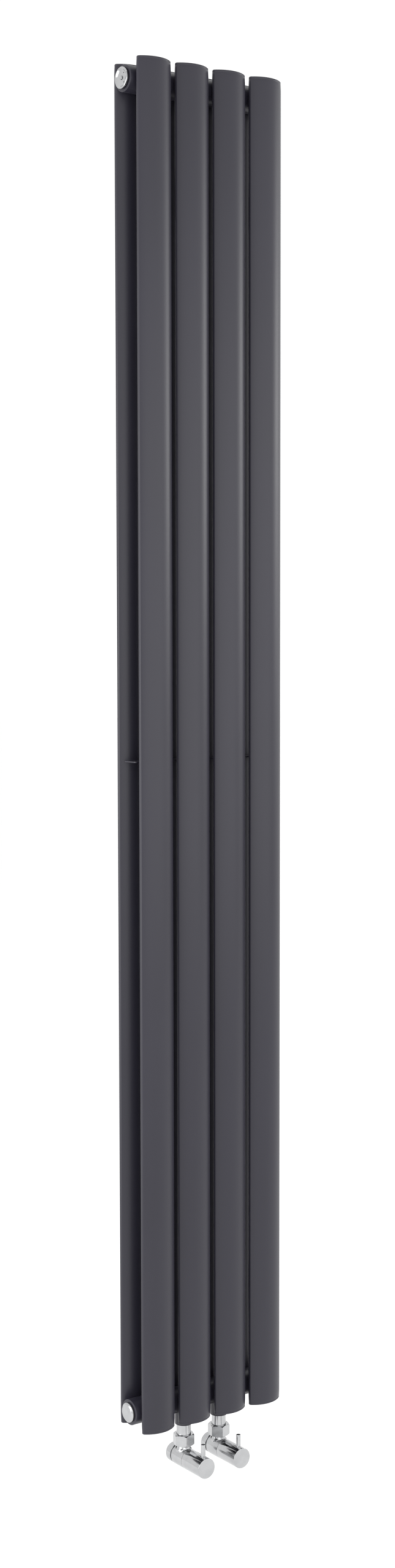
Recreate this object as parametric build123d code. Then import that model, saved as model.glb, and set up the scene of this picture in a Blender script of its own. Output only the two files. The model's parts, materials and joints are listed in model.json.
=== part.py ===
from build123d import *
import os
from math import hypot, sqrt

# Vertical double-row column radiator with two corner valves underneath.
# Millimetres. +X to the right seen from the room, -Y towards the room, +Z up.
# Origin: on the wall, at the centre of the four wall fixings.

# Panel
COLUMN_HEIGHT = 1780.0
COLUMN_PITCH = 59.0
COLUMNS_PER_ROW = 4
COLUMN_WIDTH = 51.5
COLUMN_DEPTH = 24.0
COLUMN_EDGE_RADIUS = 4.0
COLUMN_WALL = 1.5
CAP_THICKNESS = 3.0
CAP_ROUNDING = 1.3
NARROWING = 0.4
NARROWING_HEIGHT = 10.0
ROW_SPACING = 50.0
WALL_TO_HEADER = 65.0

# Headers: round cross tubes let into the backs of the columns
HEADER_RADIUS = 17.0
HEADER_WALL = 2.0
HEADER_INSET = 23.5
HEADER_LENGTH = 236.0
WELD_GAP = 0.05
PORT_RADIUS = 7.0
BUSH_LENGTH = 9.0
BAFFLE_THICKNESS = 2.0
BOSS_RADIUS = 11.9
BOSS_DROP = 11.5
BOSS_MOUTH_RADIUS = 11.1
BOSS_MOUTH_DEPTH = 1.6

# Half-inch pipe thread, drawn as plain cylinders
THREAD_BORE_RADIUS = 10.5
THREAD_RADIUS = 10.4
PLUG_DEPTH = 8.0

# Chrome heads of the end fittings and the ring behind each
VENT_HEAD_RADIUS = 13.6
VENT_HOLE_PLACE = 7.2
VENT_HOLE_RADIUS = 0.9
VENT_HOLE_TURNS = (-35, -145)
PLUG_HEAD_RADIUS = 13.0
PLUG_BEVEL = 1.8
RING_GROOVE_RADIUS = 10.9
RING_MIDDLE = 12.1
RING_SECTION = 0.74
BLEED_BORE_RADIUS = 2.6
BLEED_SCREW_RADIUS = 2.54
BLEED_KEY = 3.4

# Flat strip between the rows at half height
SPACER_LENGTH = 226.0
SPACER_THICKNESS = 1.6

# Wall brackets
FIXING_SPACING_X = 118.0
FIXING_SPACING_Z = 1480.0
FIXING_RADIUS = 4.0
BRACKET_PLATE = (26.0, 46.0, 3.0)
ARM_BELOW_FIXING = 12.0
ARM_WIDTH = 10.0
ARM_HEIGHT = 6.0
LUG_THICKNESS = 4.0
LUG_HEIGHT = 34.0
LUG_LENGTH = 72.0
LUG_CORNER = 5.0
WINDOW_HEIGHT = 20.0
LINER_WALL = 1.0
LOCK_SCREW_RADIUS = 1.9
LOCK_SCREW_Y = -17.0

# Valves
VALVE_SPACING = 59.0
VALVE_BELOW_PANEL = 58.0
VALVE_RADIUS = 13.6
PIPE_RADIUS = 7.6
PIPE_STOP = -10.0
INLET_END = -26.0
NUT_FRONT = -13.6
GROOVE_FRONT = -11.6
HEAD_BACK = 13.3
BODY_FRONT = 13.0
HEAD_FRONT = 53.0
CHAMBER_RADIUS = 7.06
CHAMBER_HALF_LENGTH = 7.2
ROTOR_RADIUS = 7.0
WAY_RADIUS = 4.0
STEM_RADIUS = 3.5
STEM_CLEARANCE = 0.06
STEM_END = 47.0
BONNET_THREAD_RADIUS = 9.0
LEVER_RADIUS = 3.0
LEVER_PLACE = 45.0
LEVER_TOP = 31.0
LEVER_SHANK_RADIUS = 2.0
LEVER_SEAT = 12.4
UNION_FLATS = 26.0
UNION_BOTTOM = 17.5
UNION_TOP = 32.5
TAIL_RADIUS = 9.75
TAIL_BORE_RADIUS = 6.2
TAIL_FLANGE_BOTTOM = 28.5
TAIL_FLANGE_TOP = 30.9
TAIL_THREAD_END = 61.5
TAIL_KEY = 7.4
NUT_TURN = {"left": 9.0, "right": 15.0}

# Worked out
ROW_Y = {"front": -WALL_TO_HEADER - ROW_SPACING / 2, "rear": -WALL_TO_HEADER + ROW_SPACING / 2}
HEADER_Y = -WALL_TO_HEADER
TOP = COLUMN_HEIGHT / 2
BOTTOM = -TOP
HEADER_Z = {"top": TOP - HEADER_INSET, "bottom": BOTTOM + HEADER_INSET}
COLUMN_X = [(i - (COLUMNS_PER_ROW - 1) / 2) * COLUMN_PITCH for i in range(COLUMNS_PER_ROW)]
HEADER_END = HEADER_LENGTH / 2
VALVE_X = {"left": -VALVE_SPACING / 2, "right": VALVE_SPACING / 2}
VALVE_Z = BOTTOM - VALVE_BELOW_PANEL
BOSS_BOTTOM = BOTTOM - BOSS_DROP
BOSS_ABOVE_VALVE = VALVE_BELOW_PANEL - BOSS_DROP
LUG_FRONT = ROW_Y["rear"] + COLUMN_DEPTH / 2
FIXINGS = [(sx * FIXING_SPACING_X / 2, sz * FIXING_SPACING_Z / 2) for sx in (-1, 1) for sz in (-1, 1)]


def turned(points):
    """A turned piece: outline of (radius, height) points spun round +Z."""
    outline = Polyline(*[(r, 0, h) for r, h in points], close=True)
    return revolve(make_face(outline), Axis.Z, 360)


def rod(radius, low, high):
    """A plain cylinder on +Z between two heights."""
    return Pos(0, 0, (low + high) / 2) * Cylinder(radius, high - low)


def ring(outer, inner, low, high):
    return rod(outer, low, high) - rod(inner, low - 1, high + 1)


def forward(shape):
    """Lay a piece made on +Z along the valve, its top towards the room."""
    return Rot(90, 0, 0) * shape


def end_on(shape, side):
    """Lay a piece made on +Z along a header, its top pointing out of that end."""
    turn = -90 if side == "left" else 90
    place = -HEADER_END if side == "left" else HEADER_END
    return Pos(place, 0, 0) * Rot(0, turn, 0) * shape


def hexagon_prism(flats, low, high, chamfer):
    """A nut blank: hexagon with its corners turned off at both ends."""
    corner = flats / sqrt(3)
    prism = extrude(RegularPolygon(corner, 6), amount=high - low)
    blank = turned([(0, low), (corner - chamfer, low), (corner + 0.2, low + chamfer),
                    (corner + 0.2, high - chamfer), (corner - chamfer, high), (0, high)])
    return (Pos(0, 0, low) * prism) & blank


def oval(inward, height):
    """Column outline at a height: two shallow faces meeting in tight round edges."""
    half_width = COLUMN_WIDTH / 2 - inward
    half_depth = COLUMN_DEPTH / 2 - inward
    edge = COLUMN_EDGE_RADIUS - inward
    centre = half_width - edge
    face = (centre**2 + half_depth**2 - edge**2) / (2 * (half_depth - edge))
    reach = face - half_depth
    slope = hypot(centre, reach)
    touch_x = centre + edge * centre / slope
    touch_y = edge * reach / slope
    arcs = [
        ThreePointArc((-touch_x, -touch_y, height), (0, -half_depth, height), (touch_x, -touch_y, height)),
        ThreePointArc((touch_x, -touch_y, height), (half_width, 0, height), (touch_x, touch_y, height)),
        ThreePointArc((touch_x, touch_y, height), (0, half_depth, height), (-touch_x, touch_y, height)),
        ThreePointArc((-touch_x, touch_y, height), (-half_width, 0, height), (-touch_x, -touch_y, height)),
    ]
    return Face(Wire(arcs))


def upright(face, height):
    return extrude(face, amount=height, dir=(0, 0, 1))


def header_cutter(level, gap):
    """The space a header takes out of the columns."""
    tube = Rot(0, 90, 0) * Cylinder(HEADER_RADIUS + gap, HEADER_LENGTH)
    return Pos(0, HEADER_Y, HEADER_Z[level]) * tube


def column(row):
    """One hollow tube, slightly drawn in at both ends and notched for the headers."""
    low = BOTTOM + CAP_THICKNESS
    high = TOP - CAP_THICKNESS
    shoulder_low = low + NARROWING_HEIGHT
    shoulder_high = high - NARROWING_HEIGHT
    tube = upright(oval(0, shoulder_low), shoulder_high - shoulder_low)
    tube += loft([oval(NARROWING, low), oval(0, shoulder_low)], ruled=True)
    tube += loft([oval(0, shoulder_high), oval(NARROWING, high)], ruled=True)
    tube -= upright(oval(COLUMN_WALL, shoulder_low), shoulder_high - shoulder_low)
    tube -= upright(oval(NARROWING + COLUMN_WALL, low), high - low)
    tube = Pos(0, ROW_Y[row], 0) * tube
    return tube - header_cutter("top", WELD_GAP) - header_cutter("bottom", WELD_GAP)


def column_cap():
    """Welded end plate with a rounded rim, its outer face up."""
    plate = upright(oval(NARROWING, 0), CAP_THICKNESS)
    return fillet(plate.faces().sort_by(Axis.Z)[-1].edges(), CAP_ROUNDING)


def column_caps(level):
    """The eight end plates at the top or the bottom, one for each column."""
    cap = column_cap()
    if level == "bottom":
        cap = Rot(180, 0, 0) * cap
    base = TOP - CAP_THICKNESS if level == "top" else BOTTOM + CAP_THICKNESS
    return Compound([Pos(x, y, base) * cap for x in COLUMN_X for y in ROW_Y.values()])


def header(level):
    """Cross tube with one water port into every column, front and rear."""
    tube = Rot(0, 90, 0) * (Cylinder(HEADER_RADIUS, HEADER_LENGTH)
                            - Cylinder(HEADER_RADIUS - HEADER_WALL, HEADER_LENGTH + 2))
    for x in COLUMN_X:
        tube -= Pos(x, 0, 0) * Rot(90, 0, 0) * Cylinder(PORT_RADIUS, 3 * HEADER_RADIUS)
    tube = Pos(0, HEADER_Y, HEADER_Z[level]) * tube
    if level == "bottom":
        for x in VALVE_X.values():
            tube -= Pos(x, HEADER_Y, 0) * rod(THREAD_BORE_RADIUS, BOTTOM, HEADER_Z["bottom"])
    return tube


def header_bushes(level):
    """Threaded bushes welded flush into the two ends of a header."""
    radius = HEADER_RADIUS - HEADER_WALL - WELD_GAP
    bush = ring(radius, THREAD_BORE_RADIUS, -BUSH_LENGTH, 0)
    place = Pos(0, HEADER_Y, HEADER_Z[level])
    return Compound([place * end_on(bush, side) for side in ("left", "right")])


def valve_bosses():
    """Threaded bushes saddled on the underside of the bottom header."""
    bosses = []
    for x in VALVE_X.values():
        boss = ring(BOSS_RADIUS, THREAD_BORE_RADIUS, BOSS_BOTTOM, HEADER_Z["bottom"])
        boss -= rod(BOSS_MOUTH_RADIUS, BOSS_BOTTOM - 1, BOSS_BOTTOM + BOSS_MOUTH_DEPTH)
        boss = Pos(x, HEADER_Y, 0) * boss
        bosses.append(boss - header_cutter("bottom", WELD_GAP))
    return Compound(bosses)


def flow_baffle():
    """Disc in the bottom header that keeps flow and return apart."""
    disc = Cylinder(HEADER_RADIUS - HEADER_WALL - WELD_GAP, BAFFLE_THICKNESS)
    return Pos(0, HEADER_Y, HEADER_Z["bottom"]) * Rot(0, 90, 0) * disc


def mid_spacer():
    """Flat strip between the rows at half height, narrower than the gap by a weld gap."""
    width = ROW_SPACING - COLUMN_DEPTH - 2 * WELD_GAP
    strip = Box(SPACER_LENGTH, width, SPACER_THICKNESS)
    ends = strip.edges().filter_by(Axis.Z)
    return Pos(0, HEADER_Y, 0) * fillet(ends, 3.0)


def ring_groove():
    """Space behind a plug's head for its ring."""
    return ring(VENT_HEAD_RADIUS + 1, RING_GROOVE_RADIUS, 0.4, 1.5)


def vent_plug():
    """Air vent for the top left end: dished face, raised rim, seat for the bleed screw."""
    rim = VENT_HEAD_RADIUS
    plug = turned([(0, -PLUG_DEPTH), (THREAD_RADIUS, -PLUG_DEPTH), (THREAD_RADIUS, 0.6), (rim - 0.4, 0.6),
                   (rim, 1.0), (rim, 3.6), (rim - 0.5, 4.1), (rim - 1.7, 4.1), (9.6, 2.4), (5.2, 1.8),
                   (0, 1.8)])
    plug -= ring_groove()
    plug -= rod(BLEED_BORE_RADIUS, -PLUG_DEPTH - 1, 2)
    for turn in VENT_HOLE_TURNS:
        plug -= Rot(0, 0, turn) * Pos(VENT_HOLE_PLACE, 0, 0) * rod(VENT_HOLE_RADIUS, 1, 4)
    return plug


def vent_screw():
    """Bleed screw: square key end standing in the middle of the dished face."""
    screw = rod(BLEED_SCREW_RADIUS, -6.5, 1.4) + turned([(0, -8.3), (0.8, -8.3), (2.0, -6.5), (0, -6.5)])
    key = Box(BLEED_KEY, BLEED_KEY, 2.8)
    key = chamfer(key.faces().sort_by(Axis.Z)[-1].edges(), 0.4)
    return screw + Pos(0, 0, 2.4) * key


def blanking_plug():
    """Chrome plug with a flat face and a broad bevel."""
    rim = PLUG_HEAD_RADIUS
    plug = turned([(0, -PLUG_DEPTH), (THREAD_RADIUS, -PLUG_DEPTH), (THREAD_RADIUS, 0.6), (rim - 0.4, 0.6),
                   (rim, 1.0), (rim, 2.9), (rim - PLUG_BEVEL, 4.4), (0, 4.4)])
    plug -= ring_groove()
    socket = extrude(RegularPolygon(3.46, 6), amount=6)
    return plug - Pos(0, 0, -PLUG_DEPTH - 1) * socket


def o_ring(middle, section):
    return Torus(middle, section)


def plug_o_ring():
    """Black ring squeezed between a plug's head and the bush."""
    return Pos(0, 0, RING_SECTION + 0.01) * o_ring(RING_MIDDLE, RING_SECTION)


def hanger_lug():
    """Plate across the backs of two rear columns, with a window that drops on a bracket arm."""
    plate = Box(LUG_LENGTH, LUG_THICKNESS, LUG_HEIGHT)
    plate = fillet(plate.edges().filter_by(Axis.Y), LUG_CORNER)
    window = Box(ARM_WIDTH + 2 * LINER_WALL + 2, 2 * LUG_THICKNESS, WINDOW_HEIGHT)
    plate -= fillet(window.edges().filter_by(Axis.Y), 0.8)
    window_top = -ARM_BELOW_FIXING + ARM_HEIGHT / 2 + LINER_WALL
    return Pos(0, LUG_FRONT + WELD_GAP + LUG_THICKNESS / 2, window_top - WINDOW_HEIGHT / 2) * plate


def wall_bracket():
    """Wall plate with one screw hole and a forward arm that ends in an upturned nose."""
    width, height, thickness = BRACKET_PLATE
    plate = Pos(0, -thickness / 2, -4) * Box(width, thickness, height)
    plate = fillet(plate.edges().filter_by(Axis.Y), 4.0)
    plate -= Pos(0, -thickness / 2, 0) * Rot(90, 0, 0) * Cylinder(FIXING_RADIUS, 3 * thickness)
    reach = -LUG_FRONT + 6.0
    arm = Pos(0, -reach / 2, -ARM_BELOW_FIXING) * Box(ARM_WIDTH, reach, ARM_HEIGHT)
    nose = Pos(0, -reach + 2.0, -ARM_BELOW_FIXING + 5.0) * Box(ARM_WIDTH, 4.0, 10.0 + ARM_HEIGHT - 2)
    screw_hole = Pos(0, LOCK_SCREW_Y, -ARM_BELOW_FIXING) * Cylinder(LOCK_SCREW_RADIUS + 0.05, 3 * ARM_HEIGHT)
    return plate + arm + nose - screw_hole


def arm_liner():
    """Plastic saddle on the arm that the lug's window sits on."""
    width = ARM_WIDTH + 2 * LINER_WALL
    block = Box(width, 8.0, ARM_HEIGHT + LINER_WALL)
    block = Pos(0, LUG_FRONT + 4.0 - 1.5, -ARM_BELOW_FIXING + LINER_WALL / 2) * block
    slot = Pos(0, LUG_FRONT, -ARM_BELOW_FIXING - LINER_WALL / 2) * Box(ARM_WIDTH, 30, ARM_HEIGHT + LINER_WALL)
    return block - slot


def lock_screw():
    """Small screw up through the arm behind the lug, so the panel can't be lifted off."""
    shank = rod(LOCK_SCREW_RADIUS, -ARM_HEIGHT / 2 - 0.01, 8.0)
    head = turned([(0, -2.6), (2.9, -2.6), (3.4, -2.1), (3.4, 0), (0, 0)])
    head -= Pos(0, 0, -2.7) * extrude(RegularPolygon(1.73, 6), amount=1.4)
    return Pos(0, LOCK_SCREW_Y, -ARM_BELOW_FIXING) * (shank + Pos(0, 0, -ARM_HEIGHT / 2) * head)


def at_fixings(shape):
    """The same piece at all four wall fixings."""
    return Compound([Pos(x, 0, z) * shape for x, z in FIXINGS])


def valve_body():
    """Corner body: pipe socket at the wall end, port on top, chamber for the turning plug."""
    outside = turned([(0, -21.5), (10.2, -21.5), (10.2, NUT_FRONT), (11.6, NUT_FRONT),
                      (11.6, GROOVE_FRONT), (VALVE_RADIUS - 0.9, GROOVE_FRONT),
                      (VALVE_RADIUS, GROOVE_FRONT + 0.9), (VALVE_RADIUS, BODY_FRONT), (0, BODY_FRONT)])
    body = forward(outside)
    neck = turned([(0, 0), (10.8, 0), (10.8, 10.5), (9.2, 13.2), (8.4, 15.2), (8.4, UNION_BOTTOM + 0.8),
                   (10.2, UNION_BOTTOM + 1.6), (10.2, 27.5), (0, 27.5)])
    body += neck
    inside = turned([(0, -22), (9.7, -22), (PIPE_RADIUS, -19.9), (PIPE_RADIUS, PIPE_STOP), (5.5, PIPE_STOP),
                     (5.5, -CHAMBER_HALF_LENGTH), (CHAMBER_RADIUS, -CHAMBER_HALF_LENGTH),
                     (CHAMBER_RADIUS, CHAMBER_HALF_LENGTH), (BONNET_THREAD_RADIUS, CHAMBER_HALF_LENGTH),
                     (BONNET_THREAD_RADIUS, BODY_FRONT + 1), (0, BODY_FRONT + 1)])
    body -= forward(inside)
    return body - rod(WAY_RADIUS + 1, 0, 28)


def compression_nut():
    """Round nut with a domed back edge; it squeezes the olive on to the pipe."""
    nut = turned([(0, INLET_END), (VALVE_RADIUS - 0.2, INLET_END), (VALVE_RADIUS - 0.2, NUT_FRONT - 0.1),
                  (0, NUT_FRONT - 0.1)])
    back = nut.edges().sort_by(Axis.Z)[0]
    front = nut.edges().sort_by(Axis.Z)[-1]
    nut = fillet(front, 0.8)
    nut = fillet(nut.edges().sort_by(Axis.Z)[0], 3.6)
    inside = turned([(0, INLET_END - 1), (PIPE_RADIUS, INLET_END - 1), (PIPE_RADIUS, -24.4), (9.6, -22.4),
                     (10.3, -22.4), (10.3, 0), (0, 0)])
    return forward(nut - inside)


def olive():
    """Soft brass barrel ring between the body's mouth and the nut."""
    return forward(turned([(PIPE_RADIUS, -24.2), (7.75, -24.2), (9.1, -22.8), (9.1, -21.7),
                           (7.75, -20.3), (PIPE_RADIUS, -20.3)]))


def spindle():
    """Turning plug with an L-shaped way, and the long stem that carries the head."""
    piece = turned([(0, -7), (ROTOR_RADIUS, -7), (ROTOR_RADIUS, -6.5), (5.7, -6.5), (5.7, -5.1),
                    (ROTOR_RADIUS, -5.1), (ROTOR_RADIUS, 5.1), (5.7, 5.1), (5.7, 6.5), (ROTOR_RADIUS, 6.5),
                    (ROTOR_RADIUS, 7), (STEM_RADIUS, 7), (STEM_RADIUS, STEM_END), (0, STEM_END)])
    piece -= rod(WAY_RADIUS, -8, 0)
    piece -= Pos(0, 0, LEVER_PLACE) * Pos(0, STEM_RADIUS, 0) * Box(8, 2, 6)
    piece = forward(piece)
    return piece - rod(WAY_RADIUS, 0, ROTOR_RADIUS + 1)


def rotor_o_rings():
    """Two rings that seal the turning plug in its chamber."""
    seal = o_ring(6.35, 0.64)
    return Compound([forward(Pos(0, 0, place) * seal) for place in (-5.8, 5.8)])


def bonnet():
    """Gland nut that holds the plug in and guides the stem."""
    nut = rod(BONNET_THREAD_RADIUS - 0.05, CHAMBER_HALF_LENGTH + 0.1, BODY_FRONT)
    nut += hexagon_prism(17.0, BODY_FRONT, BODY_FRONT + 4, 0.6)
    nut -= rod(STEM_RADIUS + STEM_CLEARANCE, 0, 20)
    nut -= ring(4.7, STEM_RADIUS, 11.0, 12.6)
    return forward(nut)


def stem_o_ring():
    """Ring in the bonnet's groove, round the stem."""
    return forward(Pos(0, 0, 11.8) * o_ring(4.12, 0.54))


def head():
    """Round turning head; hollow at the back over the bonnet, bored for stem and lever."""
    outside = turned([(0, HEAD_BACK), (VALVE_RADIUS - 0.4, HEAD_BACK), (VALVE_RADIUS, HEAD_BACK + 0.4),
                      (VALVE_RADIUS, HEAD_FRONT - 0.5), (VALVE_RADIUS - 0.5, HEAD_FRONT), (0, HEAD_FRONT)])
    outside -= rod(10.4, HEAD_BACK - 1, 19.0)
    outside -= rod(STEM_RADIUS + 0.03, 18.0, STEM_END + 0.5)
    piece = forward(outside)
    seat = rod(LEVER_RADIUS + 0.03, LEVER_SEAT, 20) + rod(LEVER_SHANK_RADIUS + 0.03, 0, LEVER_SEAT + 1)
    return piece - Pos(0, -LEVER_PLACE, 0) * seat


def lever_pin():
    """Lever: a rod whose thin end goes through the head and clamps the stem's flat."""
    top = LEVER_TOP
    pin = turned([(0, STEM_RADIUS - 1), (LEVER_SHANK_RADIUS, STEM_RADIUS - 1),
                  (LEVER_SHANK_RADIUS, LEVER_SEAT), (LEVER_RADIUS, LEVER_SEAT), (LEVER_RADIUS, top - 0.4),
                  (LEVER_RADIUS - 0.4, top), (0, top)])
    return Pos(0, -LEVER_PLACE, 0) * pin


def union_nut(side):
    """Hexagon nut that pulls the tail's flange down on the body."""
    nut = hexagon_prism(UNION_FLATS, UNION_BOTTOM, UNION_TOP, 1.2)
    nut -= rod(10.6, UNION_BOTTOM - 1, UNION_TOP - 1.5)
    nut -= rod(TAIL_RADIUS + 0.1, 0, UNION_TOP + 1)
    return Rot(0, 0, NUT_TURN[side]) * nut


def tail_washer():
    return ring(10.1, TAIL_BORE_RADIUS, TAIL_FLANGE_BOTTOM - 1, TAIL_FLANGE_BOTTOM)


def tail():
    """Tube from the union straight up into the boss, threaded where it goes in."""
    thread_start = BOSS_ABOVE_VALVE + BOSS_MOUTH_DEPTH
    piece = turned([(0, TAIL_FLANGE_BOTTOM), (10.3, TAIL_FLANGE_BOTTOM), (10.3, TAIL_FLANGE_TOP),
                    (TAIL_RADIUS, TAIL_FLANGE_TOP), (TAIL_RADIUS, thread_start), (THREAD_RADIUS, thread_start),
                    (THREAD_RADIUS, TAIL_THREAD_END), (0, TAIL_THREAD_END)])
    piece -= rod(TAIL_BORE_RADIUS, 0, 2 * TAIL_THREAD_END)
    key = extrude(RegularPolygon(TAIL_KEY, 6), amount=20)
    return piece - Pos(0, 0, thread_start + 2) * key


def tail_seal():
    """Rubber ring pressed into the boss's mouth round the tail."""
    return ring(BOSS_MOUTH_RADIUS - 0.1, TAIL_RADIUS + 0.05, BOSS_ABOVE_VALVE + 0.1,
                BOSS_ABOVE_VALVE + BOSS_MOUTH_DEPTH - 0.1)


def build():
    parts = {}
    for row in ROW_Y:
        tube = column(row)
        for number, x in enumerate(COLUMN_X, 1):
            parts[f"{row}_column_{number}"] = Pos(x, 0, 0) * tube
    for level in HEADER_Z:
        parts[f"{level}_caps"] = column_caps(level)
        parts[f"{level}_header"] = header(level)
        parts[f"{level}_header_bushes"] = header_bushes(level)
    parts["valve_bosses"] = valve_bosses()
    parts["flow_baffle"] = flow_baffle()
    parts["mid_spacer"] = mid_spacer()

    top_left = Pos(0, HEADER_Y, HEADER_Z["top"])
    parts["vent_plug"] = top_left * end_on(vent_plug(), "left")
    parts["vent_screw"] = top_left * end_on(vent_screw(), "left")
    parts["vent_o_ring"] = top_left * end_on(plug_o_ring(), "left")
    blank_ends = [("bottom", "left"), ("bottom", "right"), ("top", "right")]
    for level, side in blank_ends:
        place = Pos(0, HEADER_Y, HEADER_Z[level])
        parts[f"{level}_{side}_plug"] = place * end_on(blanking_plug(), side)
        parts[f"{level}_{side}_o_ring"] = place * end_on(plug_o_ring(), side)

    parts["hanger_lugs"] = at_fixings(hanger_lug())
    parts["wall_brackets"] = at_fixings(wall_bracket())
    parts["bracket_liners"] = at_fixings(arm_liner())
    parts["lock_screws"] = at_fixings(lock_screw())

    for side, x in VALVE_X.items():
        place = Pos(x, HEADER_Y, VALVE_Z)
        pieces = {"valve_body": valve_body(), "compression_nut": compression_nut(), "olive": olive(),
                  "spindle": spindle(), "rotor_o_rings": rotor_o_rings(), "bonnet": bonnet(),
                  "stem_o_ring": stem_o_ring(), "head": head(), "lever_pin": lever_pin(),
                  "union_nut": union_nut(side), "tail_washer": tail_washer(), "tail": tail(),
                  "tail_seal": tail_seal()}
        for name, piece in pieces.items():
            parts[f"{side}_{name}"] = place * piece
    return parts


os.makedirs("parts", exist_ok=True)
for node, shape in build().items():
    export_step(shape, f"parts/{node}.step")
    print(node, round(shape.volume, 1))
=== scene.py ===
# %% [markdown]
# # A tall column radiator with two corner valves
# The object is a wall-hung heating panel: eight hollow oval steel tubes in two rows, joined by a round
# header at each end, coated in satin anthracite powder. Chrome fittings close the header ends, and two
# chrome valves hang underneath. The measured model comes first and stays fixed; every piece made here is
# laid over it in the same place, in metres, with the wall at y = 0 and the room towards -y.

# %% Load the measured model
import json
import math

import bmesh
import bpy
from mathutils import Matrix, Vector


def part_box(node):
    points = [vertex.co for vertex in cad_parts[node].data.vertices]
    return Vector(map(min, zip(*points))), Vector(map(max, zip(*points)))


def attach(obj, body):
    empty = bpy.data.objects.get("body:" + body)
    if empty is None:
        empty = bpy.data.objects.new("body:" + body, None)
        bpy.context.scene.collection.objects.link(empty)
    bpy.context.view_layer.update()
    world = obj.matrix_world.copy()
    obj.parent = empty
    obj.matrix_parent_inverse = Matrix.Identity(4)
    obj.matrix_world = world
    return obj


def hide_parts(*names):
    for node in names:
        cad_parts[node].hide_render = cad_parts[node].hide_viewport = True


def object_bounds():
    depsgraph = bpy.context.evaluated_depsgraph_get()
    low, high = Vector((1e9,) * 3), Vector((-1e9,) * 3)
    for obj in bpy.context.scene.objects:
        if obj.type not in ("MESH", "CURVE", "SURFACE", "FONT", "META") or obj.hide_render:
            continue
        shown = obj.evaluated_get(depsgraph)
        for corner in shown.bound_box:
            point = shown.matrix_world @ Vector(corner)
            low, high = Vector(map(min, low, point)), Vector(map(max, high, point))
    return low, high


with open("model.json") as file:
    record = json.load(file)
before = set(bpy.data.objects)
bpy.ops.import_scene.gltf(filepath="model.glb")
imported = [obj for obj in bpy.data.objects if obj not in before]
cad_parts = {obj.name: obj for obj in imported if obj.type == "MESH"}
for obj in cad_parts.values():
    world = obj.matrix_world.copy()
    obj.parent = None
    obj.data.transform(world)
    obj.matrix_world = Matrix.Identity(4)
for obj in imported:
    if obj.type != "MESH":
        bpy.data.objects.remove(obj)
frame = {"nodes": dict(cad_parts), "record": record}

cad_low, cad_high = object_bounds()
MM = 0.001
print("model box", [round(v, 4) for v in (*cad_low, *cad_high)])

# %% [markdown]
# ## Where we stand
# A tall radiator is best seen whole from a little over two and a half metres away, well to its left,
# with the lens a bit above the panel's middle and tipped down slightly. A camera is an object with a
# place and a turn. The turn could be typed in as one matrix, but it is built here from three plain angles
# (how far it looks to the right, how far up, and a hair of tilt), because those are what one would change.

# %% Camera
CAMERA_PLACE = Vector((-1.6181, -2.3042, 0.1847))
LOOK_RIGHT = math.radians(35.78)
LOOK_UP = math.radians(-4.53)
TILT = math.radians(-0.11)
LENS = 47.8
SENSOR = 36.0


def make_camera():
    camera = bpy.data.objects.new("camera", bpy.data.cameras.new("camera"))
    bpy.context.scene.collection.objects.link(camera)
    turn = (Matrix.Rotation(-LOOK_RIGHT, 4, "Z") @ Matrix.Rotation(math.pi / 2 + LOOK_UP, 4, "X")
            @ Matrix.Rotation(TILT, 4, "Z"))
    camera.matrix_world = Matrix.Translation(CAMERA_PLACE) @ turn
    camera.data.sensor_width = SENSOR
    camera.data.lens = LENS
    camera.data.clip_end = 100.0
    bpy.context.scene.camera = camera
    return camera


camera = make_camera()
print("camera", [round(v, 3) for v in camera.location], "lens", LENS)

# %% [markdown]
# ## Socket arithmetic
# A finish is a small network of nodes, and most of that network is plain arithmetic. Wrapping a socket
# in a class that understands +, - and * lets the arithmetic be written the way it is thought, and
# each operator simply drops a Math node. Colours never pass through Math nodes, which would turn them
# grey: they are blended with a Mix node.

# %% Sockets that can be added and multiplied
class Wire:
    """One output socket of a finish, with arithmetic on plain values."""

    def __init__(self, finish, socket):
        self.finish = finish
        self.socket = socket

    def math(self, operation, first, second):
        return self.finish.node("ShaderNodeMath", {"operation": operation}, {0: first, 1: second})

    def __add__(self, other):
        return self.math("ADD", self, other)

    def __radd__(self, other):
        return self.math("ADD", other, self)

    def __sub__(self, other):
        return self.math("SUBTRACT", self, other)

    def __rsub__(self, other):
        return self.math("SUBTRACT", other, self)

    def __mul__(self, other):
        return self.math("MULTIPLY", self, other)

    def __rmul__(self, other):
        return self.math("MULTIPLY", other, self)

    def clamped(self):
        return self.finish.node("ShaderNodeClamp", {}, {0: self})


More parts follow.
